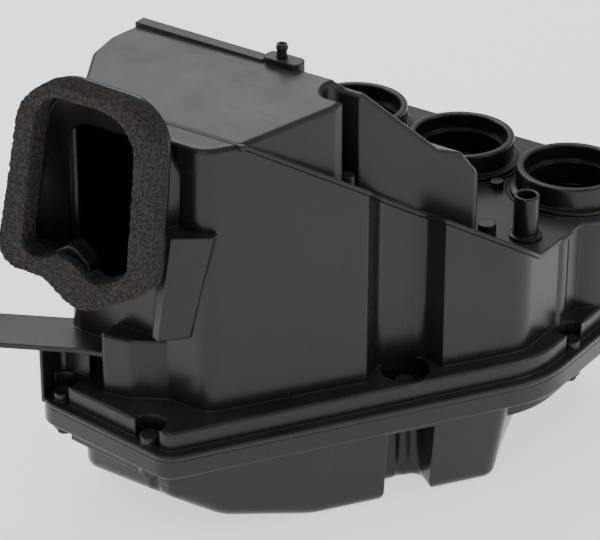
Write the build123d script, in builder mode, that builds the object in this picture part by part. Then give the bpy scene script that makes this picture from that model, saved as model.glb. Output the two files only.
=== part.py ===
from build123d import *
import os
from math import cos, radians, sin

# Motorcycle airbox for three in-line intakes, standing on its filter cover. Millimetres.
# X runs along the row of outlets, +Y points away from the intake mouth, +Z points up.
# The origin is on the cover's flat base, straight below the middle outlet's axis.

os.makedirs("parts", exist_ok=True)

# ---- driving dimensions -------------------------------------------------------------
OUTLET_PITCH = 78
OUTLETS = [(step * OUTLET_PITCH, 0) for step in (-1, 0, 1)]
WALL = 2.8

BAND_LOW = 53  # lower edge of the cover's joint band
SEAM = 65  # cover and housing meet here
SHELF = 80  # top of the housing's joint rim
DECK = 139  # top face of the outlet deck
RIM = 156  # top of the outlet sleeves
FRONT_TOP = 244  # where the welded seam starts, above the intake
ROOF_FALL = 0.68  # the seam's slope, down towards the outlets
ROOF_RISE = 0.215  # the duct roof's slope, up away from the intake
SEAM_FRONT_Y = -235
SHELL_FRONT_Y = -238  # front edge of the upper shell
SKIN = 3.0  # vertical thickness of the upper shell on its seam
DECK_FRONT_Y = SEAM_FRONT_Y + (FRONT_TOP - DECK) / ROOF_FALL
REAR_Y = 46
FRONT_WALL_Y = -255
WIDE = 200

# The long right-hand wall runs at a slant. Its points are given as a distance along
# the slant and a distance outwards from it, both from SLANT_START.
SLANT_START = (-14, -290)
SLANT_ANGLE = 55.6


def slant(along, out):
    """Point on or beside the slanted wall line."""
    turn = radians(SLANT_ANGLE)
    x = SLANT_START[0] + along * cos(turn) + out * sin(turn)
    y = SLANT_START[1] + along * sin(turn) - out * cos(turn)
    return (x, y)


# ---- outlines in plan: (corner, rounding radius) ------------------------------------
FLANGE = [
    ((-107, -281), 14),
    ((-9, -292), 14),
    ((121, -95), 70),
    ((121, 50), 30),
    ((-128, 50), 30),
    ((-128, -160), 20),
    ((-135, -180), 20),
    ((-135, -205), 20),
    ((-129, -238), 20),
]
WALLS = [
    ((-106, FRONT_WALL_Y), 14),
    ((-7.5, FRONT_WALL_Y), 14),
    ((103, -93.7), 22),
    ((103, REAR_Y), 6),
    ((-121.5, REAR_Y), 28),
    ((-121.5, -164), 8),
    ((-128.5, -180), 8),
    ((-128.5, -200), 12),
    ((-114, -228), 14),
]
# Hand room for a driver, down the slanted wall to the screw at its foot.
CHANNEL = [
    (slant(129, 8), 0),
    (slant(129, -14.5), 7),
    (slant(141, -29), 9),
    (slant(170, -30.5), 8),
    (slant(177, -14.5), 4),
    (slant(177, 8), 0),
]
DOME = [
    ((-104, -238), 10),
    ((4.5, -238), 5),
    ((32, -186), 4),
    ((32, -166), 3),
    ((79, -100), 5),
    ((-120, -100), 12),
    ((-120, -166), 5),
    ((-126.5, -181), 6),
    ((-126.5, -199), 8),
    ((-112, -226), 12),
]
DOME_NOTCH = (23, -172)
NOTCH_R = 7.5
FRONT_BOX = [
    ((-72, -245), 0),
    ((-72, -270), 3),
    ((-53, -266.5), 8),
    ((-25, -249), 0),
    ((-22, -245), 0),
]
# The cover's bowl at the joint and at its base, where it ends short of the right rear.
BOWL_TOP = [
    ((-84, -273), 14),
    ((-12, -281), 10),
    ((108, -116), 10),
    ((99, -46), 20),
    ((68, 41), 20),
    ((-119, 41), 20),
    ((-119, -215), 20),
]
BOWL_BASE = [
    ((-82, -271), 14),
    ((-14, -279), 10),
    ((97, -114), 10),
    ((70, -54), 22),
    ((60, 39), 20),
    ((-117, 39), 20),
    ((-117, -213), 20),
]
BOWL_RELIEF = [
    (slant(138, 8), 0),
    (slant(138, -25), 5),
    (slant(167, -25), 5),
    (slant(167, 8), 0),
]
BOWL_FILLET = 8  # rounding between the bowl's floor and its sides
SHALLOW_Z = 42  # underside of the shallow part round the bowl

# ---- outlines seen from the side: (y, z) --------------------------------------------
SEAM_SIDE = [(-260, FRONT_TOP), (SEAM_FRONT_Y, FRONT_TOP), (DECK_FRONT_Y, DECK), (60, DECK)]
DOME_SIDE = [
    (SHELL_FRONT_Y, FRONT_TOP),
    (-165, FRONT_TOP + 70 * ROOF_RISE),
    (-122, 211),
    (-111, 207),
    (-100, 189),
    (-100, 140),
    (SHELL_FRONT_Y, 140),
]
DOME_FILLET = 3
FLOOR_SIDE = [(-295, 46), (-278, 33), (-252, 13), (-205, 0), (60, 0)]
FLOOR_RADII = [0, 12, 30, 40, 0, 0, 0]

# ---- joint screws: place, radius of the pocket round each boss ----------------------
SCREWS = [
    ((-98, -272), 9),
    ((-28, -281.5), 9.5),
    (slant(156, -20.5), 14.5),
    ((112.5, -54), 9),
    ((107, 35.5), 9),
    ((22, 42.5), 7),
    ((-56, 42.5), 7),
    ((-113.5, 35.5), 9),
    ((-120, -60), 7),
    ((-120, -150), 7),
]
BOSS_R = 6
BOSS_TOP = 73
SCREW_R = 2.5
HEAD_Z = 46
FLUTE_R = 5.4  # room round each screw head, in the bowl's side

SCREW_PLACES = [place for place, _ in SCREWS]
BUSH_R = 4
INSERT_R = 3.8
SEAL_DEPTH = 2.2
SEAL_FROM = 14.5
SEAL_TO = 17
LIP = 18  # the joint faces reach this far in from the edge

# ---- front of the housing ------------------------------------------------------------
BOX_TOP = 118
ARM_Z = 105
ARM_THICK = 3.2
ARM_POINTS = [
    (-70.5, -256),
    (-70.5, -268),
    (-87, -273),
    (-158, -309.3),
    (-173.5, -279),
    (-111, -247),
    (-104, -240),
]
ARM_RADII = [0, 0, 0, 15, 15, 6, 0]
ARM_HOLE = (-159.5, -291)
ARM_HOLE_R = 6
POST_POINTS = [(-86, -262), (-107, -262), (-107, -279), (-110, -279), (-112, -250), (-86, -250)]
POST_RADII = [0, 4, 1, 2, 3, 0]
SKIRT_LOW = [(-36, -267), (-30, -269.5), (-18, -256), (-18, -250), (-36, -250)]
SKIRT_HIGH = [(-30, -266), (-19, -269.5), (-1, -256), (-2, -250), (-30, -250)]
SKIRT_LOW_Z = 126
SKIRT_HIGH_Z = 194

# ---- intake mouth, in the X-Z plane --------------------------------------------------
MOUTH = [
    ((-107, 276), 38),
    ((-16, 274), 26),
    ((-25, 163), 24),
    ((-76, 135), 22),
    ((-99, 151), 8),
    ((-134, 152), 13),
]
FOAM_OPENING = [
    ((-97, 267), 22),
    ((-30, 266), 20),
    ((-40, 170), 14),
    ((-62, 157), 10),
    ((-78, 168), 6),
    ((-88, 170), 6),
    ((-100, 164), 6),
    ((-115, 163), 8),
]
# Tongue of the end plate that stands up inside the foam.
TONGUE = [
    ((-99, 150), 0),
    ((-94, 168), 6),
    ((-82, 176), 7),
    ((-71, 166), 6),
    ((-66, 148), 0),
]
TONGUE_DEPTH = 8
NECK = [
    ((-106, 240), 20),
    ((-21, 240), 20),
    ((-24, 163), 24),
    ((-72, 137), 22),
    ((-92, 148), 8),
    ((-106, 149), 10),
]
FOAM_BACK_Y = -270
FOAM_DEPTH = 14

# ---- filter --------------------------------------------------------------------------
FILTER_X = (-107, 92)
FILTER_Y = (-92, 30)
FILTER_LOW = 60
FILTER_HIGH = 79
SEAT_LOW = 82
PARTITION_Y = -97
FILTER_POSTS = [(-98, -82, 1), (83, -82, 20), (-98, 20, 1), (83, 20, 43)]

# ---- outlets -------------------------------------------------------------------------
BORE_R = 28.4
LEDGE_R = 26
SLEEVE_R = 33
SPIGOT_R = 31
STACK_LOW = 100
STACK_SCREW_R = 33.8
STACK_SCREWS = [(x, y + side * STACK_SCREW_R) for x, y in OUTLETS for side in (-1, 1)]

# ---- fittings on the upper shell -------------------------------------------------------
BREATHER = (85.6, -66)
BREATHER_R = 7.5
BREATHER_BORE_R = 5.4
BREATHER_TOP = 166.5
ROOF_NIPPLE = (-19.5, -163.4)
ROOF_NIPPLE_R = 3
ROOF_NIPPLE_TOP = 271
STUB = (67, -79)
DECK_BOSS = (39.5, -22)
NOTCH_BOSS = (29, -170)
NOTCH_BOSS_TOP = 206


# ---- shared drawing helpers ----------------------------------------------------------
def plan(corners, inset=0):
    """Closed outline with rounded corners, drawn smaller by inset."""
    with BuildSketch() as drawn:
        with BuildLine():
            points = [corner for corner, _ in corners]
            radii = [radius for _, radius in corners]
            FilletPolyline(*points, radius=radii, close=True)
        make_face()
        if inset:
            offset(amount=-inset)
    return drawn.sketch


def lowered(points, drop):
    """The same side view, lowered by drop."""
    return [(y, z - drop) for y, z in points]


def side_prism(points, radii=None):
    """Solid that a side view sweeps across the full width."""
    with BuildPart() as prism:
        with BuildSketch(Plane.YZ):
            with BuildLine():
                if radii:
                    FilletPolyline(*points, radius=radii, close=True)
                else:
                    Polyline(*points, close=True)
            make_face()
        extrude(amount=WIDE, both=True)
    return prism.part


def seam_slab(top, bottom):
    """Solid that follows the seam, from top to bottom below it."""
    return side_prism(lowered(SEAM_SIDE, top) + lowered(SEAM_SIDE, bottom)[::-1])


flange_plan = plan(FLANGE)
rim_plan = plan(FLANGE, 6)
rim_inner = plan(FLANGE, 6 + WALL)

with BuildSketch() as wall_drawing:
    add(plan(WALLS))
    with Locations(OUTLETS[2]):
        Circle(40)
    with Locations((91.5, -50)):
        Circle(13)
    add(plan(CHANNEL), mode=Mode.SUBTRACT)
wall_plan = wall_drawing.sketch

with BuildSketch() as wall_inner_drawing:
    add(wall_plan)
    offset(amount=-WALL, mode=Mode.REPLACE)
wall_inner = wall_inner_drawing.sketch

with BuildSketch() as bead_drawing:
    add(wall_plan)
    offset(amount=1.6, mode=Mode.REPLACE)
bead_plan = bead_drawing.sketch

with BuildSketch() as joint_drawing:
    add(flange_plan)
    with BuildLine():
        Polyline(slant(144, 9), slant(144, -17), slant(168, -17), slant(168, 9), close=True)
    make_face(mode=Mode.SUBTRACT)
joint_plan = joint_drawing.sketch


def joint_inset(amount):
    """The joint's line, stepped inwards and round the slanted wall's screw."""
    with BuildSketch() as drawn:
        add(joint_plan)
        offset(amount=-amount, mode=Mode.REPLACE)
    return drawn.sketch


# ---- cover ---------------------------------------------------------------------------
def floor_edges(part, below):
    """Edges round a floor: low ones that don't stand upright."""
    found = []
    for edge in part.edges():
        box = edge.bounding_box()
        across = max(box.size.X, box.size.Y)
        if box.max.Z < below and across > 0.3 and box.size.Z < 0.8 * edge.length:
            found.append(edge)
    return found


def bowl(inset, rise, top):
    """The cover's bowl, as a solid, drawn smaller and with its floor raised."""
    with BuildPart() as solid:
        with BuildSketch(Plane.XY):
            add(plan(BOWL_BASE, inset))
        with BuildSketch(Plane.XY.offset(SEAM)):
            add(plan(BOWL_TOP, inset))
        loft(ruled=True)
        with BuildSketch(Plane.XY.offset(SHALLOW_Z + rise)):
            add(plan(FLANGE, 9.4 + inset))
        extrude(amount=SEAM - SHALLOW_Z - rise)
        # relief below the slanted wall's screw, and a flute for every screw head
        with BuildSketch(Plane.XY):
            add(plan(BOWL_RELIEF, -inset))
            with Locations(*SCREW_PLACES):
                Circle(FLUTE_R + inset)
        extrude(amount=HEAD_Z + 4 + rise, mode=Mode.SUBTRACT)
        floor = lowered(FLOOR_SIDE, -rise) + [(60, top), (-295, top)]
        add(side_prism(floor, FLOOR_RADII), mode=Mode.INTERSECT)
        fillet(floor_edges(solid, 40 + rise), BOWL_FILLET - inset)
    return solid.part


with BuildPart() as cover:
    with BuildSketch(Plane.XY.offset(BAND_LOW)):
        add(flange_plan)
    extrude(amount=SEAM - BAND_LOW)
    fillet(cover.edges().group_by(Axis.Z)[0], 1.5)
    fillet(cover.edges().group_by(Axis.Z)[-1], 0.8)
    with BuildSketch(Plane.XY.offset(BAND_LOW)):
        add(plan(FLANGE, WALL))
    extrude(amount=SEAM - 3 - BAND_LOW, mode=Mode.SUBTRACT)
    add(bowl(0, 0, SEAM))
    add(bowl(WALL, WALL, SEAM - 3), mode=Mode.SUBTRACT)
    with BuildSketch(Plane.XY.offset(SEAM)):
        add(joint_inset(LIP))
    extrude(amount=-3, mode=Mode.SUBTRACT)
    # screw bosses, and four posts that hold the filter up against its seat
    with BuildSketch(Plane.XY.offset(HEAD_Z + 4)):
        with Locations(*SCREW_PLACES):
            Circle(BOSS_R + 1)
    extrude(amount=SEAM - HEAD_Z - 4)
    for x, y, foot in FILTER_POSTS:
        with BuildSketch(Plane.XY.offset(foot)):
            with Locations((x, y)):
                Circle(5)
        extrude(amount=FILTER_LOW - 0.3 - foot)
    # groove for the seal, and the screws' bushes
    with BuildSketch(Plane.XY.offset(SEAM)):
        add(joint_inset(SEAL_FROM))
        add(joint_inset(SEAL_TO), mode=Mode.SUBTRACT)
    extrude(amount=-SEAL_DEPTH, mode=Mode.SUBTRACT)
    with BuildSketch(Plane.XY.offset(SEAM)):
        with Locations(*SCREW_PLACES):
            Circle(BUSH_R)
    extrude(amount=HEAD_Z + 4 - SEAM, mode=Mode.SUBTRACT)
cover.part.label = "cover"
export_step(cover.part, "parts/cover.step")


# ---- seal lying in the cover's groove ------------------------------------------------
with BuildPart() as cover_seal:
    with BuildSketch(Plane.XY.offset(SEAM - SEAL_DEPTH)):
        add(joint_inset(SEAL_FROM))
        add(joint_inset(SEAL_TO), mode=Mode.SUBTRACT)
    extrude(amount=SEAL_DEPTH)
cover_seal.part.label = "cover_seal"
export_step(cover_seal.part, "parts/cover_seal.step")


# ---- steel bushes that stop the screws crushing the cover -----------------------------
with BuildPart() as screw_bushes:
    with BuildSketch(Plane.XY.offset(HEAD_Z + 4)):
        with Locations(*SCREW_PLACES):
            Circle(BUSH_R)
            Circle(SCREW_R + 0.5, mode=Mode.SUBTRACT)
    extrude(amount=SEAM - HEAD_Z - 4)
screw_bushes.part.label = "screw_bushes"
export_step(screw_bushes.part, "parts/screw_bushes.step")


# ---- screws, put in from below --------------------------------------------------------
with BuildPart() as cover_screws:
    with BuildSketch(Plane.XY.offset(HEAD_Z)):
        with Locations(*SCREW_PLACES):
            Circle(4.6)
    extrude(amount=4)
    with BuildSketch(Plane.XY.offset(HEAD_Z + 4)):
        with Locations(*SCREW_PLACES):
            Circle(SCREW_R)
    extrude(amount=18)
    with BuildSketch(Plane.XY.offset(HEAD_Z)):
        with Locations(*SCREW_PLACES):
            RegularPolygon(2.3, 6)
    extrude(amount=2.4, mode=Mode.SUBTRACT)
cover_screws.part.label = "cover_screws"
export_step(cover_screws.part, "parts/cover_screws.step")


# ---- brass inserts in the housing's bosses --------------------------------------------
with BuildPart() as threaded_inserts:
    with BuildSketch(Plane.XY.offset(SEAM)):
        with Locations(*SCREW_PLACES):
            Circle(INSERT_R)
            Circle(SCREW_R + 0.3, mode=Mode.SUBTRACT)
    extrude(amount=6)
threaded_inserts.part.label = "threaded_inserts"
export_step(threaded_inserts.part, "parts/threaded_inserts.step")


# ---- filter: frame, pleated paper, mesh and sealing lip --------------------------------
FILTER_LENGTH = FILTER_X[1] - FILTER_X[0]
FILTER_WIDTH = FILTER_Y[1] - FILTER_Y[0]
FILTER_CENTRE = (sum(FILTER_X) / 2, sum(FILTER_Y) / 2)


def filter_sheet(height, inset, radius):
    """Rounded rectangle round the filter's centre."""
    with BuildSketch(Plane.XY.offset(height)) as drawn:
        with Locations(FILTER_CENTRE):
            RectangleRounded(FILTER_LENGTH - 2 * inset, FILTER_WIDTH - 2 * inset, radius)
    return drawn.sketch


with BuildPart() as filter_frame:
    extrude(filter_sheet(FILTER_LOW, 0, 12), amount=FILTER_HIGH - FILTER_LOW)
    extrude(filter_sheet(FILTER_LOW + 2, 5, 8), amount=WIDE, mode=Mode.SUBTRACT)
    extrude(filter_sheet(FILTER_LOW, 8, 6), amount=WIDE, mode=Mode.SUBTRACT)
filter_frame.part.label = "filter_frame"
export_step(filter_frame.part, "parts/filter_frame.step")

MESH_STEP = 12.5
with BuildPart() as filter_mesh:
    extrude(filter_sheet(FILTER_LOW + 2, 5, 8), amount=1.2)
    with BuildSketch(Plane.XY.offset(FILTER_LOW + 2)):
        with Locations(FILTER_CENTRE):
            with GridLocations(MESH_STEP, MESH_STEP, 14, 8):
                Rectangle(MESH_STEP - 2, MESH_STEP - 2)
    extrude(amount=1.2, mode=Mode.SUBTRACT)
filter_mesh.part.label = "filter_mesh"
export_step(filter_mesh.part, "parts/filter_mesh.step")

PLEAT = 6
PLEAT_COUNT = 30
PAPER = 1.4
pleat_left = FILTER_CENTRE[0] - PLEAT * PLEAT_COUNT / 2
pleat_line = []
for fold in range(2 * PLEAT_COUNT + 1):
    height = FILTER_LOW + 3.2 if fold % 2 == 0 else FILTER_HIGH - 1 - PAPER
    pleat_line.append((pleat_left + fold * PLEAT / 2, height))
with BuildPart() as filter_media:
    with BuildSketch(Plane.XZ.offset(-FILTER_Y[1] + 7.5)):
        with BuildLine():
            Polyline(*pleat_line, *[(x, z + PAPER) for x, z in pleat_line[::-1]], close=True)
        make_face()
    extrude(amount=FILTER_WIDTH - 15)
filter_media.part.label = "filter_media"
export_step(filter_media.part, "parts/filter_media.step")

with BuildPart() as filter_seal:
    extrude(filter_sheet(FILTER_HIGH, 0.5, 11.5), amount=SEAT_LOW - FILTER_HIGH)
    extrude(filter_sheet(FILTER_HIGH, 6, 7), amount=WIDE, mode=Mode.SUBTRACT)
filter_seal.part.label = "filter_seal"
export_step(filter_seal.part, "parts/filter_seal.step")


# ---- snorkel: end plate, flared neck and its outer skirt --------------------------------
def mouth(corners, y, inset=0):
    """Outline of the intake, standing upright at a depth."""
    with BuildSketch(Plane.XZ.offset(-y)) as drawn:
        add(plan(corners, inset))
    return drawn.sketch


NECK_FRONT_Y = FOAM_BACK_Y + 3
NECK_BACK_Y = FRONT_WALL_Y + WALL
with BuildPart() as neck_solid:
    loft([mouth(MOUTH, NECK_FRONT_Y, 9).face(), mouth(NECK, NECK_BACK_Y).face()])

with BuildPart() as neck_space:
    loft([mouth(MOUTH, NECK_FRONT_Y, 12).face(), mouth(NECK, NECK_BACK_Y, 3).face()])

with BuildPart() as skirt_solid:
    with BuildSketch(Plane.XY.offset(SKIRT_LOW_Z)):
        with BuildLine():
            Polyline(*SKIRT_LOW, close=True)
        make_face()
    with BuildSketch(Plane.XY.offset(SKIRT_HIGH_Z)):
        with BuildLine():
            Polyline(*SKIRT_HIGH, close=True)
        make_face()
    loft()
    with BuildSketch(Plane.XY.offset(SHELF)):
        add(wall_plan)
    extrude(amount=WIDE, mode=Mode.SUBTRACT)

with BuildPart() as snorkel:
    extrude(mouth(MOUTH, NECK_FRONT_Y, 1), amount=3)
    add(neck_solid.part)
    add(skirt_solid.part)
    extrude(mouth(MOUTH, NECK_FRONT_Y, 12), amount=3, mode=Mode.SUBTRACT)
    add(neck_space.part, mode=Mode.SUBTRACT)
    extrude(mouth(TONGUE, NECK_FRONT_Y), amount=3 + TONGUE_DEPTH)
snorkel.part.label = "snorkel"
export_step(snorkel.part, "parts/snorkel.step")

with BuildPart() as intake_gasket:
    extrude(mouth(MOUTH, FOAM_BACK_Y), amount=FOAM_DEPTH)
    extrude(mouth(FOAM_OPENING, FOAM_BACK_Y), amount=FOAM_DEPTH, mode=Mode.SUBTRACT)
    extrude(mouth(TONGUE, FOAM_BACK_Y), amount=TONGUE_DEPTH, mode=Mode.SUBTRACT)
intake_gasket.part.label = "intake_gasket"
export_step(intake_gasket.part, "parts/intake_gasket.step")


# ---- housing ----------------------------------------------------------------------------
box_plan = plan(FRONT_BOX)
with BuildPart() as pocket_walls:
    for place, radius in SCREWS:
        with BuildSketch(Plane.XY.offset(SEAM)):
            with Locations(place):
                Circle(radius + WALL)
        extrude(amount=SHELF - SEAM)
    with BuildSketch(Plane.XY.offset(SEAM)):
        add(rim_plan)
    extrude(amount=SHELF - SEAM, mode=Mode.INTERSECT)

with BuildPart() as arm:
    with BuildSketch(Plane.XY.offset(ARM_Z - ARM_THICK)):
        with BuildLine():
            FilletPolyline(*ARM_POINTS, radius=ARM_RADII, close=True)
        make_face()
        with Locations(ARM_HOLE):
            Circle(ARM_HOLE_R, mode=Mode.SUBTRACT)
    extrude(amount=ARM_THICK)
    # the corner post and back wall that carry the arm
    with BuildSketch(Plane.XY.offset(SEAM)):
        with BuildLine():
            FilletPolyline(*POST_POINTS, radius=POST_RADII, close=True)
        make_face()
    extrude(amount=ARM_Z - ARM_THICK - SEAM)

with BuildPart() as wall_block:
    # everything inside the upright walls, cut off along the seam, with a level ledge in front
    with BuildSketch(Plane.XY.offset(SHELF - WALL)):
        add(wall_plan)
    extrude(amount=FRONT_TOP)
    ledge_side = [(-260, FRONT_TOP), (SHELL_FRONT_Y, FRONT_TOP), (SHELL_FRONT_Y, FRONT_TOP - SKIN)]
    wall_side = ledge_side + lowered(SEAM_SIDE[1:], SKIN) + [(60, 0), (-260, 0)]
    add(side_prism(wall_side), mode=Mode.INTERSECT)
    ledge_edges = wall_block.edges().filter_by_position(Axis.Z, FRONT_TOP - 0.1, FRONT_TOP + 0.1)
    fillet(ledge_edges.filter_by_position(Axis.Y, -260, SHELL_FRONT_Y - 0.5), 3)

with BuildPart() as box_block:
    with BuildSketch(Plane.XY.offset(SHELF - WALL)):
        add(box_plan)
    extrude(amount=BOX_TOP - SHELF + WALL)
    fillet(box_block.edges().group_by(Axis.Z)[-1], 2)

with BuildPart() as rim_block:
    with BuildSketch(Plane.XY.offset(SEAM)):
        add(rim_plan)
    extrude(amount=SHELF - SEAM)
    fillet(rim_block.edges().group_by(Axis.Z)[-1], 2)
    with BuildSketch(Plane.XY.offset(SEAM)):
        add(rim_inner)
    extrude(amount=SHELF - WALL - SEAM, mode=Mode.SUBTRACT)

with BuildPart() as foot_block:
    with BuildSketch(Plane.XY.offset(SEAM)):
        add(flange_plan)
    extrude(amount=3)
    fillet(foot_block.edges().group_by(Axis.Z)[-1], 1.2)
    with BuildSketch(Plane.XY.offset(SEAM)):
        add(joint_inset(LIP))
    extrude(amount=3, mode=Mode.SUBTRACT)

with BuildPart() as housing:
    add(wall_block.part)
    add(box_block.part)
    add(rim_block.part)
    with BuildSketch(Plane.XY.offset(SHELF - WALL)):
        add(wall_inner)
    extrude(amount=FRONT_TOP - SKIN - SHELF + WALL, mode=Mode.SUBTRACT)
    with BuildSketch(Plane.XY.offset(SHELF - WALL)):
        add(plan(FRONT_BOX, WALL))
    extrude(amount=BOX_TOP - SHELF, mode=Mode.SUBTRACT)
    add(foot_block.part)
    add(pocket_walls.part)
    for place, radius in SCREWS:
        with BuildSketch(Plane.XY.offset(SEAM + 3)):
            with Locations(place):
                Circle(radius)
            add(wall_plan, mode=Mode.SUBTRACT)
        extrude(amount=SHELF - SEAM - 3, mode=Mode.SUBTRACT)
    with BuildSketch(Plane.XY.offset(SEAM)):
        with Locations(*SCREW_PLACES):
            Circle(BOSS_R)
    extrude(amount=BOSS_TOP - SEAM)
    with BuildSketch(Plane.XY.offset(SEAM)):
        with Locations(*SCREW_PLACES):
            Circle(INSERT_R)
    extrude(amount=6, mode=Mode.SUBTRACT)
    add(arm.part)
    # the snorkel's neck stands in the front wall
    add(neck_solid.part, mode=Mode.SUBTRACT)
housing.part.label = "housing"
export_step(housing.part, "parts/housing.step")


# ---- upper shell: outlet deck, sloping joint plate and duct roof ------------------------
def roof_edges(part):
    """Edges of the roof and its ramp, without the upright corners and the front edge."""
    found = []
    for edge in part.edges():
        box = edge.bounding_box()
        upright = max(box.size.X, box.size.Y) < 0.3 and box.size.Z > 1
        if box.min.Z > 160 and box.max.Y > SHELL_FRONT_Y + 0.5 and not upright:
            found.append(edge)
    return found


def dome(inset):
    """The duct roof and plenum hump, as a solid, drawn smaller by inset."""
    with BuildPart() as solid:
        with BuildSketch(Plane.XY.offset(DECK - SKIN)):
            add(plan(DOME, inset))
            with Locations(DOME_NOTCH):
                Circle(NOTCH_R + inset, mode=Mode.SUBTRACT)
                with Locations((15, 0)):
                    Rectangle(30, 2 * (NOTCH_R + inset), mode=Mode.SUBTRACT)
        extrude(amount=WIDE)
        add(side_prism(lowered(DOME_SIDE, inset * 1.1)), mode=Mode.INTERSECT)
        if not inset:
            fillet(roof_edges(solid), DOME_FILLET)
    return solid.part


dome_outside = dome(0)
dome_inside = dome(WALL)

with BuildPart() as seam_bead:
    # rolled edge of the plate, standing just proud of the walls
    with BuildSketch(Plane.XY.offset(DECK - 8)):
        add(bead_plan)
        with BuildLine():
            Polyline(
                (-WIDE, SHELL_FRONT_Y), (WIDE, SHELL_FRONT_Y), (WIDE, WIDE), (-WIDE, WIDE), close=True
            )
        make_face(mode=Mode.INTERSECT)
    extrude(amount=WIDE)
    add(seam_slab(0, SKIN), mode=Mode.INTERSECT)
    fillet(seam_bead.edges().filter_by(lambda edge: edge.length > edge.bounding_box().size.Z + 0.1), 0.8)

with BuildPart() as upper_shell:
    add(seam_bead.part)
    add(dome_outside)
    # raised strip along the roof's rear edge, and the lump that carries the small nipple
    with BuildSketch(Plane.XZ.offset(168)):
        with BuildLine():
            Polyline((-119.5, 261), (-30, 260), (-30, 250), (-119.5, 250), close=True)
        make_face()
    extrude(amount=-8)
    with BuildSketch(Plane.XY.offset(250)):
        with Locations((-18, ROOF_NIPPLE[1])):
            RectangleRounded(24, 11, 4)
    extrude(amount=12.5)
    add(seam_slab(SKIN, WIDE), mode=Mode.SUBTRACT)
    add(dome_inside, mode=Mode.SUBTRACT)
    # thicker rings round the outlets
    with BuildSketch(Plane.XY.offset(DECK)):
        with Locations(*OUTLETS):
            Circle(SLEEVE_R + 5.4)
        add(wall_plan, mode=Mode.INTERSECT)
    extrude(amount=1.2)
    with BuildSketch(Plane.XY.offset(DECK - SKIN)):
        with Locations(*OUTLETS):
            Circle(SPIGOT_R)
    extrude(amount=WIDE, mode=Mode.SUBTRACT)
    # blind stub, boss between the outlets, and the boss at the notch's foot
    with BuildSketch(Plane.XY.offset(DECK)):
        with Locations(STUB):
            Circle(5.5)
    extrude(amount=9)
    with BuildSketch(Plane.XY.offset(DECK)):
        with Locations(DECK_BOSS):
            Circle(4)
    extrude(amount=5)
    with BuildSketch(Plane.XY.offset(DECK)):
        with Locations(NOTCH_BOSS):
            Circle(4.5)
    extrude(amount=NOTCH_BOSS_TOP - DECK)
    with BuildSketch(Plane.XY.offset(DECK - SKIN)):
        with Locations(BREATHER):
            Circle(BREATHER_R)
        with Locations(ROOF_NIPPLE):
            Circle(ROOF_NIPPLE_R)
    extrude(amount=WIDE, mode=Mode.SUBTRACT)
    with BuildSketch(Plane.XY.offset(DECK - SKIN)):
        with Locations(*STACK_SCREWS):
            Circle(1.6)
    extrude(amount=3.5, mode=Mode.SUBTRACT)
upper_shell.part.label = "upper_shell"
export_step(upper_shell.part, "parts/upper_shell.step")


# ---- partition between the duct chamber and the plenum, with the filter's seat ----------
with BuildPart() as partition:
    with BuildSketch(Plane.XY.offset(SEAT_LOW)):
        add(wall_inner)
        with Locations((0, PARTITION_Y + WALL / 2)):
            Rectangle(2 * WIDE, WALL, mode=Mode.INTERSECT)
    extrude(amount=WIDE)
    add(seam_slab(SKIN, WIDE), mode=Mode.INTERSECT)
    with BuildSketch(Plane.XY.offset(SEAT_LOW)):
        add(wall_inner)
        with Locations((0, PARTITION_Y + WIDE / 2)):
            Rectangle(2 * WIDE, WIDE, mode=Mode.INTERSECT)
    extrude(amount=WALL)
    extrude(filter_sheet(SEAT_LOW, 8, 6), amount=WALL, mode=Mode.SUBTRACT)
partition.part.label = "partition"
export_step(partition.part, "parts/partition.step")


# ---- outlet sleeves and velocity stacks --------------------------------------------------
SLEEVE_SIDE = [
    (LEDGE_R, DECK - SKIN - 5),
    (SPIGOT_R, DECK - SKIN - 5),
    (SPIGOT_R, DECK + 1.2),
    (SLEEVE_R + 4, DECK + 1.2),
    (SLEEVE_R + 4, DECK + 3.4),
    (SLEEVE_R, DECK + 4.4),
    (SLEEVE_R, RIM),
    (BORE_R, RIM),
    (BORE_R, RIM - 10),
    (LEDGE_R, RIM - 10),
]
STACK_SIDE = [
    (LEDGE_R, DECK - SKIN - 5),
    (LEDGE_R, STACK_LOW + 14),
    (LEDGE_R + 2.4, STACK_LOW + 5),
    (LEDGE_R + 9, STACK_LOW),
    (LEDGE_R + 11, STACK_LOW + 1),
    (LEDGE_R + 10.4, STACK_LOW + 2.6),
    (LEDGE_R + 5, STACK_LOW + 6.6),
    (LEDGE_R + 2.4, STACK_LOW + 15),
    (LEDGE_R + 2.4, DECK - SKIN - 9),
    (SPIGOT_R + 5, DECK - SKIN - 5),
    (SPIGOT_R + 5, DECK - SKIN),
    (SPIGOT_R, DECK - SKIN),
    (SPIGOT_R, DECK - SKIN - 5),
]

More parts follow.
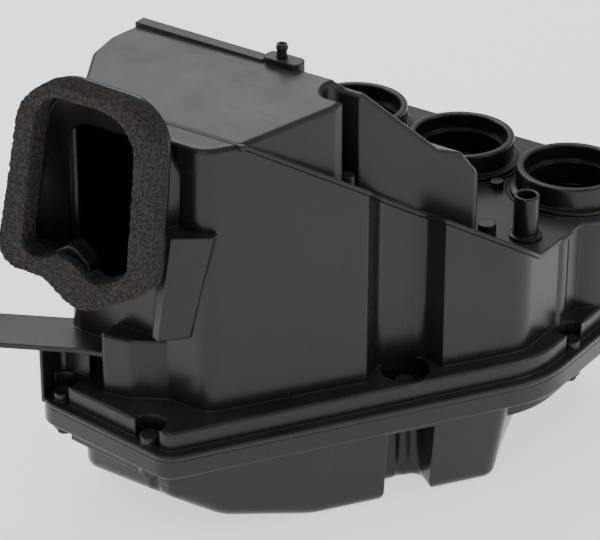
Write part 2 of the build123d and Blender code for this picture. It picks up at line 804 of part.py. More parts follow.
for number, (centre_x, centre_y) in enumerate(OUTLETS, start=1):
    upright = Plane(origin=(centre_x, centre_y, 0), x_dir=(1, 0, 0), z_dir=(0, -1, 0))
    with BuildPart() as outlet_sleeve:
        with BuildSketch(upright):
            with BuildLine():
                Polyline(*SLEEVE_SIDE, close=True)
            make_face()
        revolve(axis=Axis((centre_x, centre_y, 0), (0, 0, 1)))
        rim_edges = outlet_sleeve.edges().filter_by(GeomType.CIRCLE).group_by(Axis.Z)[-1]
        fillet(rim_edges, 1.2)
    outlet_sleeve.part.label = f"outlet_sleeve_{number}"
    export_step(outlet_sleeve.part, f"parts/outlet_sleeve_{number}.step")

    with BuildPart() as velocity_stack:
        with BuildSketch(upright):
            with BuildLine():
                Polyline(*STACK_SIDE, close=True)
            make_face()
        revolve(axis=Axis((centre_x, centre_y, 0), (0, 0, 1)))
        with BuildSketch(Plane.XY.offset(DECK - SKIN - 5)):
            with Locations((centre_x, centre_y + STACK_SCREW_R), (centre_x, centre_y - STACK_SCREW_R)):
                Circle(1.6)
        extrude(amount=5, mode=Mode.SUBTRACT)
        with BuildSketch(Plane.XY.offset(DECK - SKIN - 5)):
            with Locations((centre_x, centre_y + STACK_SCREW_R), (centre_x, centre_y - STACK_SCREW_R)):
                Circle(2.8)
        extrude(amount=-5, mode=Mode.SUBTRACT)
    velocity_stack.part.label = f"velocity_stack_{number}"
    export_step(velocity_stack.part, f"parts/velocity_stack_{number}.step")


# ---- screws that hold the velocity stacks to the deck ---------------------------------------
with BuildPart() as stack_screws:
    with BuildSketch(Plane.XY.offset(DECK - SKIN - 7)):
        with Locations(*STACK_SCREWS):
            Circle(2.4)
    extrude(amount=2)
    with BuildSketch(Plane.XY.offset(DECK - SKIN - 5)):
        with Locations(*STACK_SCREWS):
            Circle(1.6)
    extrude(amount=8)
stack_screws.part.label = "stack_screws"
export_step(stack_screws.part, "parts/stack_screws.step")


# ---- breather nipple on the deck, small nipple on the roof ----------------------------------
with BuildPart() as breather_nipple:
    with BuildSketch(Plane.XY.offset(DECK - SKIN - 3)):
        with Locations(BREATHER):
            Circle(BREATHER_R)
    extrude(amount=BREATHER_TOP - DECK + SKIN + 3)
    with BuildSketch(Plane.XY.offset(DECK)):
        with Locations(BREATHER):
            Circle(BREATHER_R + 2.2)
    extrude(amount=2)
    with BuildSketch(Plane.XY.offset(DECK - SKIN - 3)):
        with Locations(BREATHER):
            Circle(BREATHER_BORE_R)
    extrude(amount=WIDE, mode=Mode.SUBTRACT)
    tip_edges = breather_nipple.edges().filter_by(GeomType.CIRCLE).group_by(Axis.Z)[-1]
    fillet(tip_edges, 0.8)
breather_nipple.part.label = "breather_nipple"
export_step(breather_nipple.part, "parts/breather_nipple.step")

with BuildPart() as roof_nipple:
    with BuildSketch(Plane.XY.offset(254)):
        with Locations(ROOF_NIPPLE):
            Circle(ROOF_NIPPLE_R)
    extrude(amount=ROOF_NIPPLE_TOP - 254)
    with BuildSketch(Plane.XY.offset(ROOF_NIPPLE_TOP - 3)):
        with Locations(ROOF_NIPPLE):
            Circle(ROOF_NIPPLE_R + 0.5)
    extrude(amount=1.4)
    with BuildSketch(Plane.XY.offset(254)):
        with Locations(ROOF_NIPPLE):
            Circle(1.6)
    extrude(amount=WIDE, mode=Mode.SUBTRACT)
roof_nipple.part.label = "roof_nipple"
export_step(roof_nipple.part, "parts/roof_nipple.step")


# ---- rubber grommet and steel collar in the mounting arm -------------------------------------
GROMMET_LOW = ARM_Z - ARM_THICK - 2.5
with BuildPart() as arm_grommet:
    for low, high, radius in [
        (GROMMET_LOW, GROMMET_LOW + 2.5, 9),
        (GROMMET_LOW, ARM_Z + 2.5, ARM_HOLE_R),
        (ARM_Z, ARM_Z + 2.5, 9),
    ]:
        with BuildSketch(Plane.XY.offset(low)):
            with Locations(ARM_HOLE):
                Circle(radius)
        extrude(amount=high - low)
    with BuildSketch(Plane.XY.offset(GROMMET_LOW)):
        with Locations(ARM_HOLE):
            Circle(4.2)
    extrude(amount=WIDE, mode=Mode.SUBTRACT)
arm_grommet.part.label = "arm_grommet"
export_step(arm_grommet.part, "parts/arm_grommet.step")

with BuildPart() as arm_collar:
    with BuildSketch(Plane.XY.offset(GROMMET_LOW - 0.4)):
        with Locations(ARM_HOLE):
            Circle(4.2)
            Circle(3.2, mode=Mode.SUBTRACT)
    extrude(amount=ARM_THICK + 5.8)
arm_collar.part.label = "arm_collar"
export_step(arm_collar.part, "parts/arm_collar.step")
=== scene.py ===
"""Looks of a moulded motorcycle airbox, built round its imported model.

Sizes are in metres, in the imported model's frame: X along the outlets, +Y away from the
intake, +Z up.
"""

import logging
import math
from dataclasses import dataclass, field
from enum import Enum
from typing import Any

import bmesh
import bpy
from mathutils import Matrix, Vector, noise

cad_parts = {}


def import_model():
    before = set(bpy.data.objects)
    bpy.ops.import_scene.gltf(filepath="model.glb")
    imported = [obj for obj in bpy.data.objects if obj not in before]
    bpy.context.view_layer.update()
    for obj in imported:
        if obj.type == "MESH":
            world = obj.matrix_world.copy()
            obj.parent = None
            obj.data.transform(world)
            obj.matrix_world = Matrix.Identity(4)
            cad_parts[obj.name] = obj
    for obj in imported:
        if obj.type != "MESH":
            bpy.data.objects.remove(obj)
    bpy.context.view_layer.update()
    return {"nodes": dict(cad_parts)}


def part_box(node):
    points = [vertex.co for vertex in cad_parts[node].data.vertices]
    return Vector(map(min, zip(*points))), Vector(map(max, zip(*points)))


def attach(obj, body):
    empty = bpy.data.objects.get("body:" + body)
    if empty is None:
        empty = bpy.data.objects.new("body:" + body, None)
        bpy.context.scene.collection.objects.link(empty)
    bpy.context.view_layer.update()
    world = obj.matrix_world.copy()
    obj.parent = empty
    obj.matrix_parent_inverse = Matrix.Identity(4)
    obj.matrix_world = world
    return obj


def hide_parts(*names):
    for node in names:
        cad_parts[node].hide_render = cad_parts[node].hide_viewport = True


LOG = logging.getLogger("airbox")
MERGE = 1e-5
Colour = tuple[float, float, float]


# ---- shader expressions --------------------------------------------------------------
class Signal:
    """A shader socket that adds Math nodes when it is used in an expression."""

    def __init__(self, tree: bpy.types.NodeTree, socket: bpy.types.NodeSocket) -> None:
        """Wraps one output socket of a tree."""
        self.tree = tree
        self.socket = socket

    def _math(self, operation: str, first: Any, second: Any, clamp: bool = False) -> "Signal":
        """Adds a Math node.

        Args:
            operation: the node's operation.
            first: a signal or a number.
            second: a signal or a number.
            clamp: keep the result between 0 and 1.

        Returns:
            The node's result.
        """
        node = self.tree.nodes.new("ShaderNodeMath")
        node.operation = operation
        node.use_clamp = clamp
        for index, value in enumerate((first, second)):
            if isinstance(value, Signal):
                self.tree.links.new(value.socket, node.inputs[index])
            else:
                node.inputs[index].default_value = float(value)
        return Signal(self.tree, node.outputs[0])

    def __add__(self, other: Any) -> "Signal":
        """Sum."""
        return self._math("ADD", self, other)

    def __radd__(self, other: Any) -> "Signal":
        """Sum, reflected."""
        return self._math("ADD", other, self)

    def __sub__(self, other: Any) -> "Signal":
        """Difference."""
        return self._math("SUBTRACT", self, other)

    def __rsub__(self, other: Any) -> "Signal":
        """Difference, reflected."""
        return self._math("SUBTRACT", other, self)

    def __mul__(self, other: Any) -> "Signal":
        """Product."""
        return self._math("MULTIPLY", self, other)

    def __rmul__(self, other: Any) -> "Signal":
        """Product, reflected."""
        return self._math("MULTIPLY", other, self)

    def clamped(self) -> "Signal":
        """The same value, kept between 0 and 1."""
        return self._math("ADD", self, 0.0, clamp=True)


class Shader:
    """One material's node tree, with short ways to add nodes."""

    def __init__(self, name: str) -> None:
        """Starts an empty material.

        Args:
            name: the material's name.
        """
        self.material = bpy.data.materials.new(name)
        self.material.use_nodes = True
        self.tree = self.material.node_tree
        self.tree.nodes.clear()
        self.output = self.tree.nodes.new("ShaderNodeOutputMaterial")
        self.bsdf = self.tree.nodes.new("ShaderNodeBsdfPrincipled")
        self.tree.links.new(self.bsdf.outputs[0], self.output.inputs[0])
        coordinates = self.tree.nodes.new("ShaderNodeTexCoord")
        self.place = Signal(self.tree, coordinates.outputs["Object"])

    def node(
        self,
        kind: str,
        settings: dict[str, Any] | None = None,
        inputs: dict[str, Any] | None = None,
        output: str | int = 0,
    ) -> Signal:
        """Adds a node of any type.

        Args:
            kind: the node's type name.
            settings: properties, set before the sockets; "stops" gives a ramp's stops.
            inputs: socket name or index to a value or a signal.
            output: the output wanted.

        Returns:
            That output.
        """
        node = self.tree.nodes.new(kind)
        for key, value in (settings or {}).items():
            if key == "stops":
                ramp = node.color_ramp.elements
                while len(ramp) < len(value):
                    ramp.new(0.5)
                for element, (at, colour) in zip(ramp, value):
                    element.position = at
                    element.color = (*colour, 1.0)
            else:
                setattr(node, key, value)
        for key, value in (inputs or {}).items():
            socket = node.inputs[key]
            if isinstance(value, Signal):
                self.tree.links.new(value.socket, socket)
            else:
                socket.default_value = value
        return Signal(self.tree, node.outputs[output])

    def noise(
        self, scale: float, detail: float = 4.0, rough: float = 0.55, where: Signal | None = None
    ) -> Signal:
        """Soft noise on the piece's own place, about 0 to 1."""
        vector = where or self.place
        inputs = {"Vector": vector, "Scale": scale, "Detail": detail, "Roughness": rough}
        return self.node("ShaderNodeTexNoise", {}, inputs)

    def cells(self, scale: float, feature: str = "F1", where: Signal | None = None) -> Signal:
        """Distance in a cell pattern."""
        inputs = {"Vector": where or self.place, "Scale": scale}
        return self.node("ShaderNodeTexVoronoi", {"feature": feature}, inputs, "Distance")

    def stretched(self, scale: Colour, turn: Colour = (0.0, 0.0, 0.0)) -> Signal:
        """The piece's place, turned and stretched, for streaks and scratches."""
        inputs = {"Vector": self.place, "Scale": scale, "Rotation": turn}
        return self.node("ShaderNodeMapping", {}, inputs)

    def ramp(self, value: Signal, low: float, high: float) -> Signal:
        """0 below low, 1 above high, straight between them."""
        inputs = {"Value": value, "From Min": low, "From Max": high}
        return self.node("ShaderNodeMapRange", {"clamp": True}, inputs)

    def mix(self, factor: Signal | float, first: Any, second: Any) -> Signal:
        """Colour between first and second.

        Args:
            factor: 0 for first, 1 for second.
            first: a colour or a signal.
            second: a colour or a signal.

        Returns:
            The mixed colour.
        """
        node = self.tree.nodes.new("ShaderNodeMix")
        node.data_type = "RGBA"
        sockets = [s for s in node.inputs if s.enabled]
        for socket, value in zip(sockets, (factor, first, second)):
            if isinstance(value, Signal):
                self.tree.links.new(value.socket, socket)
            elif isinstance(value, tuple):
                socket.default_value = (*value, 1.0)
            else:
                socket.default_value = value
        result = next(s for s in node.outputs if s.enabled)
        return Signal(self.tree, result)

    def axis(self, name: str) -> Signal:
        """One coordinate of the piece's place: X, Y or Z."""
        return self.node("ShaderNodeSeparateXYZ", {}, {"Vector": self.place}, name)

    def facing_up(self) -> Signal:
        """How far the surface faces up, -1 to 1."""
        normal = self.node("ShaderNodeNewGeometry", {}, {}, "Normal")
        return self.node("ShaderNodeSeparateXYZ", {}, {"Vector": normal}, "Z")

    def bump(
        self, height: Signal, strength: float, distance: float, base: Signal | None = None
    ) -> Signal:
        """Normal bent by a height, on top of a base normal where one is given.

        Args:
            height: the height signal.
            strength: how much of the bend shows.
            distance: the height's size in metres.
            base: the normal to start from.

        Returns:
            The bent normal.
        """
        inputs = {"Height": height, "Strength": strength, "Distance": distance}
        if base is not None:
            inputs["Normal"] = base
        return self.node("ShaderNodeBump", {}, inputs)

    def eased_edges(self, radius: float) -> Signal:
        """Normal that rolls over the small radius every moulded edge has."""
        return self.node("ShaderNodeBevel", {"samples": 6}, {"Radius": radius})

    def surface(self, **sockets: Any) -> bpy.types.Material:
        """Sets the surface's sockets, named with underscores for spaces.

        Args:
            **sockets: values or signals by socket name.

        Returns:
            The finished material.
        """
        for key, value in sockets.items():
            socket = self.bsdf.inputs[key.replace("_", " ")]
            if isinstance(value, Signal):
                self.tree.links.new(value.socket, socket)
            elif isinstance(value, tuple):
                socket.default_value = (*value, 1.0)
            else:
                socket.default_value = value
        return self.material


# ---- finishes ------------------------------------------------------------------------
class Wear(Enum):
    """How used a moulded surface looks, and how far its up-facing faces are lightened with painted
    overhead light.
    """

    CLEAN = 0.25
    HANDLED = 0.6
    DUSTY_AND_TOP_LIT = 1.0


@dataclass(frozen=True)
class MouldedPlastic:
    """Black satin plastic with faint flow lines, scuffs and specks, and on up-facing faces a pale
    dusty film that is partly painted overhead light.
    """

    name: str
    colour: Colour = (0.007, 0.007, 0.008)
    # pale colour of up-facing faces: partly a dusty film, partly painted overhead light
    dust_and_top_light: Colour = (0.11, 0.11, 0.115)
    roughness: float = 0.25
    edge: float = 0.0016
    wear: Wear = Wear.HANDLED

    def make(self) -> bpy.types.Material:
        """Builds the material.

        Returns:
            The plastic.
        """
        shade = Shader(self.name)
        amount = self.wear.value
        clouds = shade.noise(9.0, 3.0)
        patches = shade.noise(38.0, 5.0, 0.6)
        grain = shade.noise(1500.0, 2.0, 0.5)
        streaks = shade.noise(60.0, 3.0, 0.5, shade.stretched((1.0, 9.0, 0.6), (0.2, 0.1, 0.7)))
        scratch_place = shade.stretched((16.0, 320.0, 60.0), (0.0, 0.0, 0.62))
        scratches = shade.ramp(shade.noise(2.0, 2.0, 0.4, scratch_place), 0.7, 0.76)
        specks = 1.0 - shade.ramp(shade.cells(420.0), 0.07, 0.14)
        speckle_mask = shade.ramp(shade.noise(26.0, 2.0), 0.52, 0.68)
        level = shade.ramp(shade.facing_up(), 0.25, 0.95)
        # painted light: up-facing faces lean toward the pale colour, partly a dusty film and partly
        # the overhead light painted in
        settled_dust_and_top_light = level * shade.ramp(clouds * 0.6 + patches * 0.5, 0.3, 0.85)
        dust_and_top_light = (settled_dust_and_top_light * (0.42 * amount) + streaks * (0.05 * amount)).clamped()
        marks = dust_and_top_light + specks * speckle_mask * (0.3 * amount) + scratches * level * (0.28 * amount)
        marks = marks.clamped()
        paler = tuple(1.35 * c for c in self.colour)
        tone = shade.mix(shade.ramp(clouds, 0.3, 0.7), self.colour, paler)
        rough = patches * 0.16 + self.roughness - 0.08 + dust_and_top_light * 0.3 + scratches * 0.12
        height = grain * 0.35 + patches * 0.5 + clouds * 1.2 - scratches * 0.3
        return shade.surface(
            Base_Color=shade.mix(marks, tone, self.dust_and_top_light),
            Roughness=rough.clamped(),
            Specular_IOR_Level=0.34,
            Normal=shade.bump(height, 0.16, 0.0006, shade.eased_edges(self.edge)),
        )


@dataclass(frozen=True)
class OpenFoam:
    """Coarse open-cell foam, dark grey with lighter cell walls."""

    name: str
    dark: Colour = (0.006, 0.006, 0.006)
    light: Colour = (0.05, 0.048, 0.046)

    def make(self) -> bpy.types.Material:
        """Builds the material.

        Returns:
            The foam.
        """
        shade = Shader(self.name)
        pores = shade.cells(620.0)
        fine = shade.cells(1300.0)
        patches = shade.noise(45.0, 4.0)
        worn = shade.noise(260.0, 5.0, 0.7)
        open_cell = shade.ramp(pores * 0.7 + fine * 0.4, 0.18, 0.62)
        lit = (open_cell * 0.75 + worn * 0.45 - 0.1).clamped()
        tone = shade.mix(lit, self.dark, self.light)
        warm = shade.mix(shade.ramp(patches, 0.35, 0.7), tone, (0.04, 0.037, 0.034))
        height = worn * 0.7 + open_cell
        return shade.surface(
            Base_Color=shade.mix(0.3, tone, warm),
            Roughness=0.95,
            Specular_IOR_Level=0.15,
            Normal=shade.bump(height, 0.9, 0.0012),
        )


@dataclass(frozen=True)
class Metal:
    """Plated steel or brass with fine turning marks and dull patches."""

    name: str
    colour: Colour
    roughness: float = 0.32

    def make(self) -> bpy.types.Material:
        """Builds the material.

        Returns:
            The metal.
        """
        shade = Shader(self.name)
        rings = shade.noise(900.0, 2.0, 0.5, shade.stretched((1.0, 1.0, 6.0)))
        dull = shade.noise(170.0, 4.0)
        darker = tuple(0.6 * c for c in self.colour)
        tone = shade.mix(shade.ramp(dull, 0.35, 0.75), self.colour, darker)
        return shade.surface(
            Base_Color=tone,
            Metallic=1.0,
            Roughness=(dull * 0.25 + self.roughness - 0.1).clamped(),
            Normal=shade.bump(rings, 0.15, 0.0003),
        )


@dataclass(frozen=True)
class SoftRubber:
    """Matt black rubber with a bloom."""

    name: str
    colour: Colour = (0.018, 0.018, 0.018)

    def make(self) -> bpy.types.Material:
        """Builds the material.

        Returns:
            The rubber.
        """
        shade = Shader(self.name)
        bloom = shade.noise(120.0, 5.0, 0.65)
        grain = shade.noise(1800.0, 2.0)
        return shade.surface(
            Base_Color=shade.mix(shade.ramp(bloom, 0.4, 0.8), self.colour, (0.06, 0.06, 0.06)),
            Roughness=(bloom * 0.2 + 0.62).clamped(),
            Normal=shade.bump(grain + bloom, 0.25, 0.0004),
        )


@dataclass(frozen=True)
class PleatedPaper:
    """Filter paper with fibres and stains, darker towards the bottom."""

    name: str
    colour: Colour = (0.72, 0.58, 0.34)
    stain_and_low_tone: Colour = (0.16, 0.13, 0.09)

    def make(self) -> bpy.types.Material:
        """Builds the material.

        Returns:
            The paper.
        """
        shade = Shader(self.name)
        fibres = shade.noise(700.0, 3.0, 0.6, shade.stretched((1.0, 0.3, 1.0)))
        stains = shade.noise(30.0, 4.0)
        # darker towards the bottom: below about 62 to 72 mm the paper leans to the dark tone
        low = 1.0 - shade.ramp(shade.axis("Z"), 0.062, 0.072)
        stained_and_darker_low = (shade.ramp(stains, 0.4, 0.75) * 0.4 + low * 0.35).clamped()
        return shade.surface(
            Base_Color=shade.mix(stained_and_darker_low, self.colour, self.stain_and_low_tone),
            Roughness=0.9,
            Normal=shade.bump(fibres, 0.35, 0.0004),
        )


def dress(piece: bpy.types.Object, material: bpy.types.Material) -> None:
    """Gives a piece one material."""
    piece.data.materials.clear()
    piece.data.materials.append(material)


# ---- geometry node trees -------------------------------------------------------------
class Scatter:
    """A Geometry Nodes tree with named inputs, run once and turned into a plain mesh."""

    def __init__(self, name: str, sizes: dict[str, tuple[str, Any]]) -> None:
        """Starts a tree.

        Args:
            name: the tree's name.
            sizes: input name to its socket type and value.
        """
        self.tree = bpy.data.node_groups.new(name, "GeometryNodeTree")
        self.values = {key: value for key, (_, value) in sizes.items()}
        for way in ("OUTPUT", "INPUT"):
            self.tree.interface.new_socket("Geometry", in_out=way, socket_type="NodeSocketGeometry")
        for key, (kind, _) in sizes.items():
            self.tree.interface.new_socket(key, in_out="INPUT", socket_type=kind)
        self.source = self.tree.nodes.new("NodeGroupInput")
        self.result = self.tree.nodes.new("NodeGroupOutput")

    def add(self, kind: str, settings: dict[str, Any], inputs: dict[str, Any]) -> bpy.types.Node:
        """Adds a node.

        Args:
            kind: the node's type name.
            settings: properties, set first.
            inputs: socket name to a value, or to a socket that feeds it.

        Returns:
            The node.
        """
        node = self.tree.nodes.new(kind)
        for key, value in settings.items():
            setattr(node, key, value)
        for key, value in inputs.items():
            if isinstance(value, bpy.types.NodeSocket):
                self.tree.links.new(value, node.inputs[key])
            else:
                node.inputs[key].default_value = value
        return node

    def size(self, name: str) -> bpy.types.NodeSocket:
        """One of the tree's named inputs."""
        return self.source.outputs[name]

    def finish(self, instances: bpy.types.NodeSocket) -> None:
        """Ends the tree in real geometry with its material.

        Args:
            instances: the socket that carries the finished instances.
        """
        real = self.add("GeometryNodeRealizeInstances", {}, {"Geometry": instances})
        painted = self.add(
            "GeometryNodeSetMaterial",
            {},
            {"Geometry": real.outputs[0], "Material": self.size("Material")},
        )
        self.tree.links.new(painted.outputs[0], self.result.inputs[0])

    def run(self, name: str, base: bpy.types.Mesh) -> bpy.types.Object:
        """Runs the tree on a mesh.

        Args:
            name: the new piece's name.
            base: the mesh it works on.

        Returns:
            A plain mesh object at the origin.
        """
        piece = bpy.data.objects.new(name, base)
        bpy.context.scene.collection.objects.link(piece)
        modifier = piece.modifiers.new("scatter", "NODES")
        modifier.node_group = self.tree
        for item in self.tree.interface.items_tree:
            if item.in_out == "INPUT" and item.name in self.values:
                modifier[item.identifier] = self.values[item.name]
        graph = bpy.context.evaluated_depsgraph_get()
        plain = bpy.data.meshes.new_from_object(piece.evaluated_get(graph))
        piece.modifiers.clear()
        piece.data = plain
        LOG.info("built %s with %d faces", name, len(plain.polygons))
        return piece


def island_centres(mesh: bpy.types.Mesh) -> list[Vector]:
    """Middle of each separate solid in a mesh.

    Args:
        mesh: a mesh of loose triangles.

    Returns:
        The middle of each solid's box, in the order of their places.
    """
    grid = bmesh.new()
    grid.from_mesh(mesh)
    bmesh.ops.remove_doubles(grid, verts=grid.verts, dist=MERGE)
    left = set(grid.verts)
    centres = []
    while left:
        stack = [left.pop()]
        found = []
        while stack:
            vertex = stack.pop()
            found.append(vertex.co.copy())
            for edge in vertex.link_edges:
                other = edge.other_vert(vertex)
                if other in left:
                    left.remove(other)
                    stack.append(other)
        low = Vector([min(co[axis] for co in found) for axis in range(3)])
        high = Vector([max(co[axis] for co in found) for axis in range(3)])
        centres.append((low + high) / 2)
    grid.free()
    return sorted(centres, key=tuple)


# ---- sub-assemblies ------------------------------------------------------------------
@dataclass
class Mouldings:
    """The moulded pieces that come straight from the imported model."""

    nodes: dict[str, bpy.types.Object]
    body: MouldedPlastic = MouldedPlastic("housing_plastic", wear=Wear.HANDLED)
    # the roof's copy takes the palest film on its up-facing faces: partly dusty, partly painted
    # overhead light
    roof: MouldedPlastic = MouldedPlastic("roof_plastic", roughness=0.34, wear=Wear.DUSTY_AND_TOP_LIT)
    cover: MouldedPlastic = MouldedPlastic(
        "cover_plastic", colour=(0.008, 0.008, 0.009), wear=Wear.HANDLED
    )
    sleeve: MouldedPlastic = MouldedPlastic("sleeve_plastic", roughness=0.27, wear=Wear.CLEAN)
    frame: MouldedPlastic = MouldedPlastic(
        "filter_frame_plastic", colour=(0.05, 0.05, 0.05), wear=Wear.HANDLED
    )

    def dress(self) -> None:
        """Gives every moulded node its plastic."""
        made = {
            "body": self.body.make(),
            "roof": self.roof.make(),
            "cover": self.cover.make(),
            "sleeve": self.sleeve.make(),
            "frame": self.frame.make(),
        }
        wanted = {
            "body": ["housing", "partition", "snorkel"],
            "roof": ["upper_shell"],
            "cover": ["cover"],
            "sleeve": [n for n in self.nodes if n.startswith(("outlet_sleeve", "velocity_stack"))]
            + ["breather_nipple", "roof_nipple"],
            "frame": ["filter_frame"],
        }
        for finish, names in wanted.items():
            for name in names:
                dress(self.nodes[name], made[finish])
                LOG.info("dressed %s in %s", name, finish)


@dataclass
class Fittings:
    """Screws, bushes, inserts, seals and the filter's paper and mesh."""

    nodes: dict[str, bpy.types.Object]
    steel: Metal = Metal("plated_steel", (0.56, 0.55, 0.52))
    blacked: Metal = Metal("blacked_steel", (0.05, 0.05, 0.052), 0.4)
    brass: Metal = Metal("insert_brass", (0.72, 0.52, 0.24), 0.36)
    rubber: SoftRubber = SoftRubber("seal_rubber")
    paper: PleatedPaper = PleatedPaper("filter_paper")

    def dress(self) -> None:
        """Gives every fitting its finish."""
        steel = self.steel.make()
        brass = self.brass.make()
        rubber = self.rubber.make()
        dress(self.nodes["cover_screws"], self.blacked.make())
        for name in ("screw_bushes", "stack_screws", "filter_mesh", "arm_collar"):
            dress(self.nodes[name], steel)
        for name in ("cover_seal", "filter_seal", "arm_grommet"):
            dress(self.nodes[name], rubber)
        dress(self.nodes["threaded_inserts"], brass)
        dress(self.nodes["filter_media"], self.paper.make())
        LOG.info("dressed the fittings")


@dataclass
class ScrewKnurls:
    """Knurled rims round the cover's socket-head screws."""

    node: bpy.types.Object
    ridges: int = 30
    head_radius: float = 0.00462
    head_middle: float = 0.002
    ridge: tuple[float, float, float] = (0.00035, 0.0005, 0.0032)
    finish: Metal = Metal("knurl_steel", (0.06, 0.06, 0.062), 0.38)

    def build(self) -> bpy.types.Object:
        """Builds the ridges round every screw head.

        Returns:
            The piece, riding on the cover.
        """
        low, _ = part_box(self.node.name)
        heads = bpy.data.meshes.new("screw_heads")
        places = [(c.x, c.y, low.z + self.head_middle) for c in island_centres(self.node.data)]
        heads.from_pydata(places, [], [])
        sizes = {
            "Ridges": ("NodeSocketInt", self.ridges),
            "Head radius": ("NodeSocketFloat", self.head_radius),
            "Material": ("NodeSocketMaterial", self.finish.make()),
        }
        tree = Scatter("screw_knurls", sizes)
        ring = tree.add(
            "GeometryNodeMeshCircle",
            {},
            {"Vertices": tree.size("Ridges"), "Radius": tree.size("Head radius")},
        )
        bar = tree.add("GeometryNodeMeshCube", {}, {"Size": self.ridge})
        place = tree.add("GeometryNodeInputPosition", {}, {})
        outward = tree.add(
            "FunctionNodeAlignEulerToVector", {"axis": "X"}, {"Vector": place.outputs[0]}
        )
        bars = tree.add(
            "GeometryNodeInstanceOnPoints",
            {},
            {"Points": ring.outputs[0], "Instance": bar.outputs[0], "Rotation": outward.outputs[0]},
        )
        rims = tree.add(
            "GeometryNodeInstanceOnPoints",
            {},
            {"Points": tree.source.outputs[0], "Instance": bars.outputs[0]},
        )
        tree.finish(rims.outputs[0])
        knurls = tree.run("screw_knurls", heads)
        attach(knurls, "cover")
        return knurls


@dataclass
class FoamRing:
    """The coarse foam ring on the intake's end plate."""

    node: bpy.types.Object
    voxel: float = 0.0011
    swell: float = 0.0005
    ragged: float = 0.0011
    root: float = 0.003
    slow_pitch: float = 38.0
    quick_pitch: float = 420.0
    fine_pitch: float = 900.0
    finish: OpenFoam = OpenFoam("intake_foam")

    def build(self) -> bpy.types.Object:
        """Builds the ring from its plain solid, swollen and roughened.

        Returns:
            The foam piece, riding on the housing.
        """
        mesh = self.node.data.copy()
        ring = bpy.data.objects.new("foam_ring", mesh)
        bpy.context.scene.collection.objects.link(ring)
        grid = bmesh.new()
        grid.from_mesh(mesh)
        bmesh.ops.remove_doubles(grid, verts=grid.verts, dist=MERGE)
        grid.to_mesh(mesh)
        grid.free()
        remesh = ring.modifiers.new("remesh", "REMESH")
        remesh.mode = "VOXEL"
        remesh.voxel_size = self.voxel
        ease = ring.modifiers.new("ease", "SMOOTH")
        ease.factor = 0.5
        ease.iterations = 4
        graph = bpy.context.evaluated_depsgraph_get()
        plain = bpy.data.meshes.new_from_object(ring.evaluated_get(graph))
        ring.modifiers.clear()
        ring.data = plain
        self._roughen(plain)
        dress(ring, self.finish.make())
        plain.shade_smooth()
        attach(ring, "housing")
        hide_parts("intake_gasket")
        LOG.info("built foam_ring with %d faces", len(plain.polygons))
        return ring

    def _roughen(self, mesh: bpy.types.Mesh) -> None:
        """Moves each vertex along its normal: a slow swell and a ragged surface.

        Args:
            mesh: the ring's mesh, changed in place. Its back face stays where it is.
        """
        back = max(v.co.y for v in mesh.vertices)
        normals = [v.normal.copy() for v in mesh.vertices]
        for vertex, normal in zip(mesh.vertices, normals):
            free = min(1.0, max(0.0, (back - vertex.co.y) / self.root))
            slow = noise.noise(vertex.co * self.slow_pitch)
            quick = noise.noise(vertex.co * self.quick_pitch)
            quick += 0.6 * noise.noise(vertex.co * self.fine_pitch)
            vertex.co += normal * free * (self.swell * slow + self.ragged * 0.6 * quick)


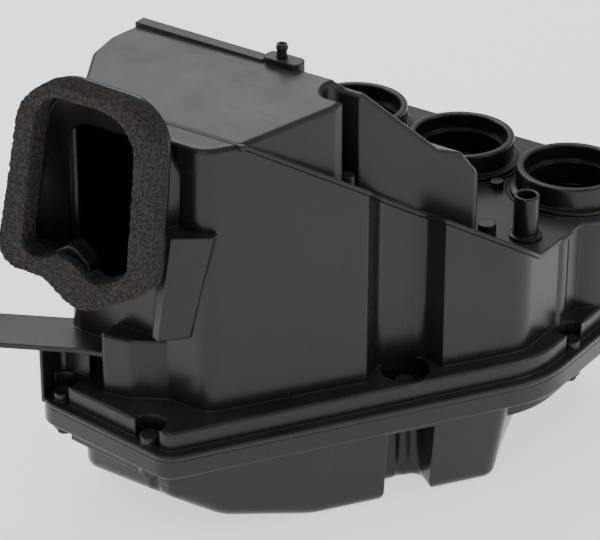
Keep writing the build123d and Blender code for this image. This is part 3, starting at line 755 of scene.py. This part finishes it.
@dataclass
class Studio:
    """Pale floor, soft lights and the camera."""

    camera_place: Vector = field(default_factory=lambda: Vector((0.8024, -1.3337, 0.9039)))
    camera_turn: tuple[float, float, float] = (61.5, 0.0, 34.68)
    lens: float = 168.0
    sensor: float = 36.0
    floor_radius: float = 6.0
    floor_drop: float = 0.0004
    floor_glow: float = 1.0
    world_light: float = 0.5

    def build(self) -> None:
        """Builds the floor, the lights, the world and the camera."""
        self._floor()
        self._light("overhead", (-1.1, 0.9, 1.8), (0.0, -0.1, 0.15), 1.3, 20.0)
        self._light("left", (-1.9, -0.9, 0.9), (0.0, -0.1, 0.12), 0.9, 9.0)
        self._light("right", (1.9, 0.1, 1.0), (0.0, -0.1, 0.1), 0.8, 7.0)
        self._light("front", (0.7, -2.3, 1.5), (0.0, -0.1, 0.1), 0.9, 8.0)
        world = bpy.data.worlds.new("studio")
        world.use_nodes = True
        background = world.node_tree.nodes["Background"]
        background.inputs["Color"].default_value = (1.0, 1.0, 1.0, 1.0)
        background.inputs["Strength"].default_value = self.world_light
        bpy.context.scene.world = world
        data = bpy.data.cameras.new("camera")
        data.lens = self.lens
        data.sensor_width = self.sensor
        data.clip_end = 50.0
        camera = bpy.data.objects.new("camera", data)
        camera.location = self.camera_place
        camera.rotation_euler = [math.radians(angle) for angle in self.camera_turn]
        bpy.context.scene.collection.objects.link(camera)
        bpy.context.scene.camera = camera

    def _floor(self) -> None:
        """Builds the floor, a wide pale disc."""
        grid = bmesh.new()
        bmesh.ops.create_circle(grid, cap_ends=True, radius=self.floor_radius, segments=96)
        mesh = bpy.data.meshes.new("floor")
        grid.to_mesh(mesh)
        grid.free()
        mesh.transform(Matrix.Translation((0.0, 0.0, -self.floor_drop)))
        floor = bpy.data.objects.new("floor", mesh)
        bpy.context.scene.collection.objects.link(floor)
        shade = Shader("floor_paper")
        tone = shade.mix(shade.noise(3.0), (0.96, 0.96, 0.96), (0.98, 0.98, 0.98))
        paper = shade.surface(
            Base_Color=tone,
            Roughness=0.9,
            Emission_Color=tone,
            Emission_Strength=self.floor_glow,
        )
        dress(floor, paper)

    def _light(
        self, name: str, place: Colour, aim: Colour, size: float, watts: float
    ) -> None:
        """Adds a square soft light that points at a place.

        Args:
            name: the light's name.
            place: where it stands.
            aim: what it points at.
            size: its side.
            watts: its power.
        """
        data = bpy.data.lights.new(name, "AREA")
        data.size = size
        data.energy = watts
        lamp = bpy.data.objects.new(name, data)
        lamp.location = place
        lamp.rotation_euler = (Vector(aim) - Vector(place)).to_track_quat("-Z", "Y").to_euler()
        bpy.context.scene.collection.objects.link(lamp)


def main() -> None:
    """Builds the airbox's looks, in order."""
    logging.basicConfig(level=logging.INFO, format="%(name)s %(message)s")
    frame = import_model()
    nodes = frame["nodes"]
    Mouldings(nodes).dress()
    Fittings(nodes).dress()
    FoamRing(nodes["intake_gasket"]).build()
    ScrewKnurls(nodes["cover_screws"]).build()
    Studio().build()


if __name__ == "__main__":
    main()
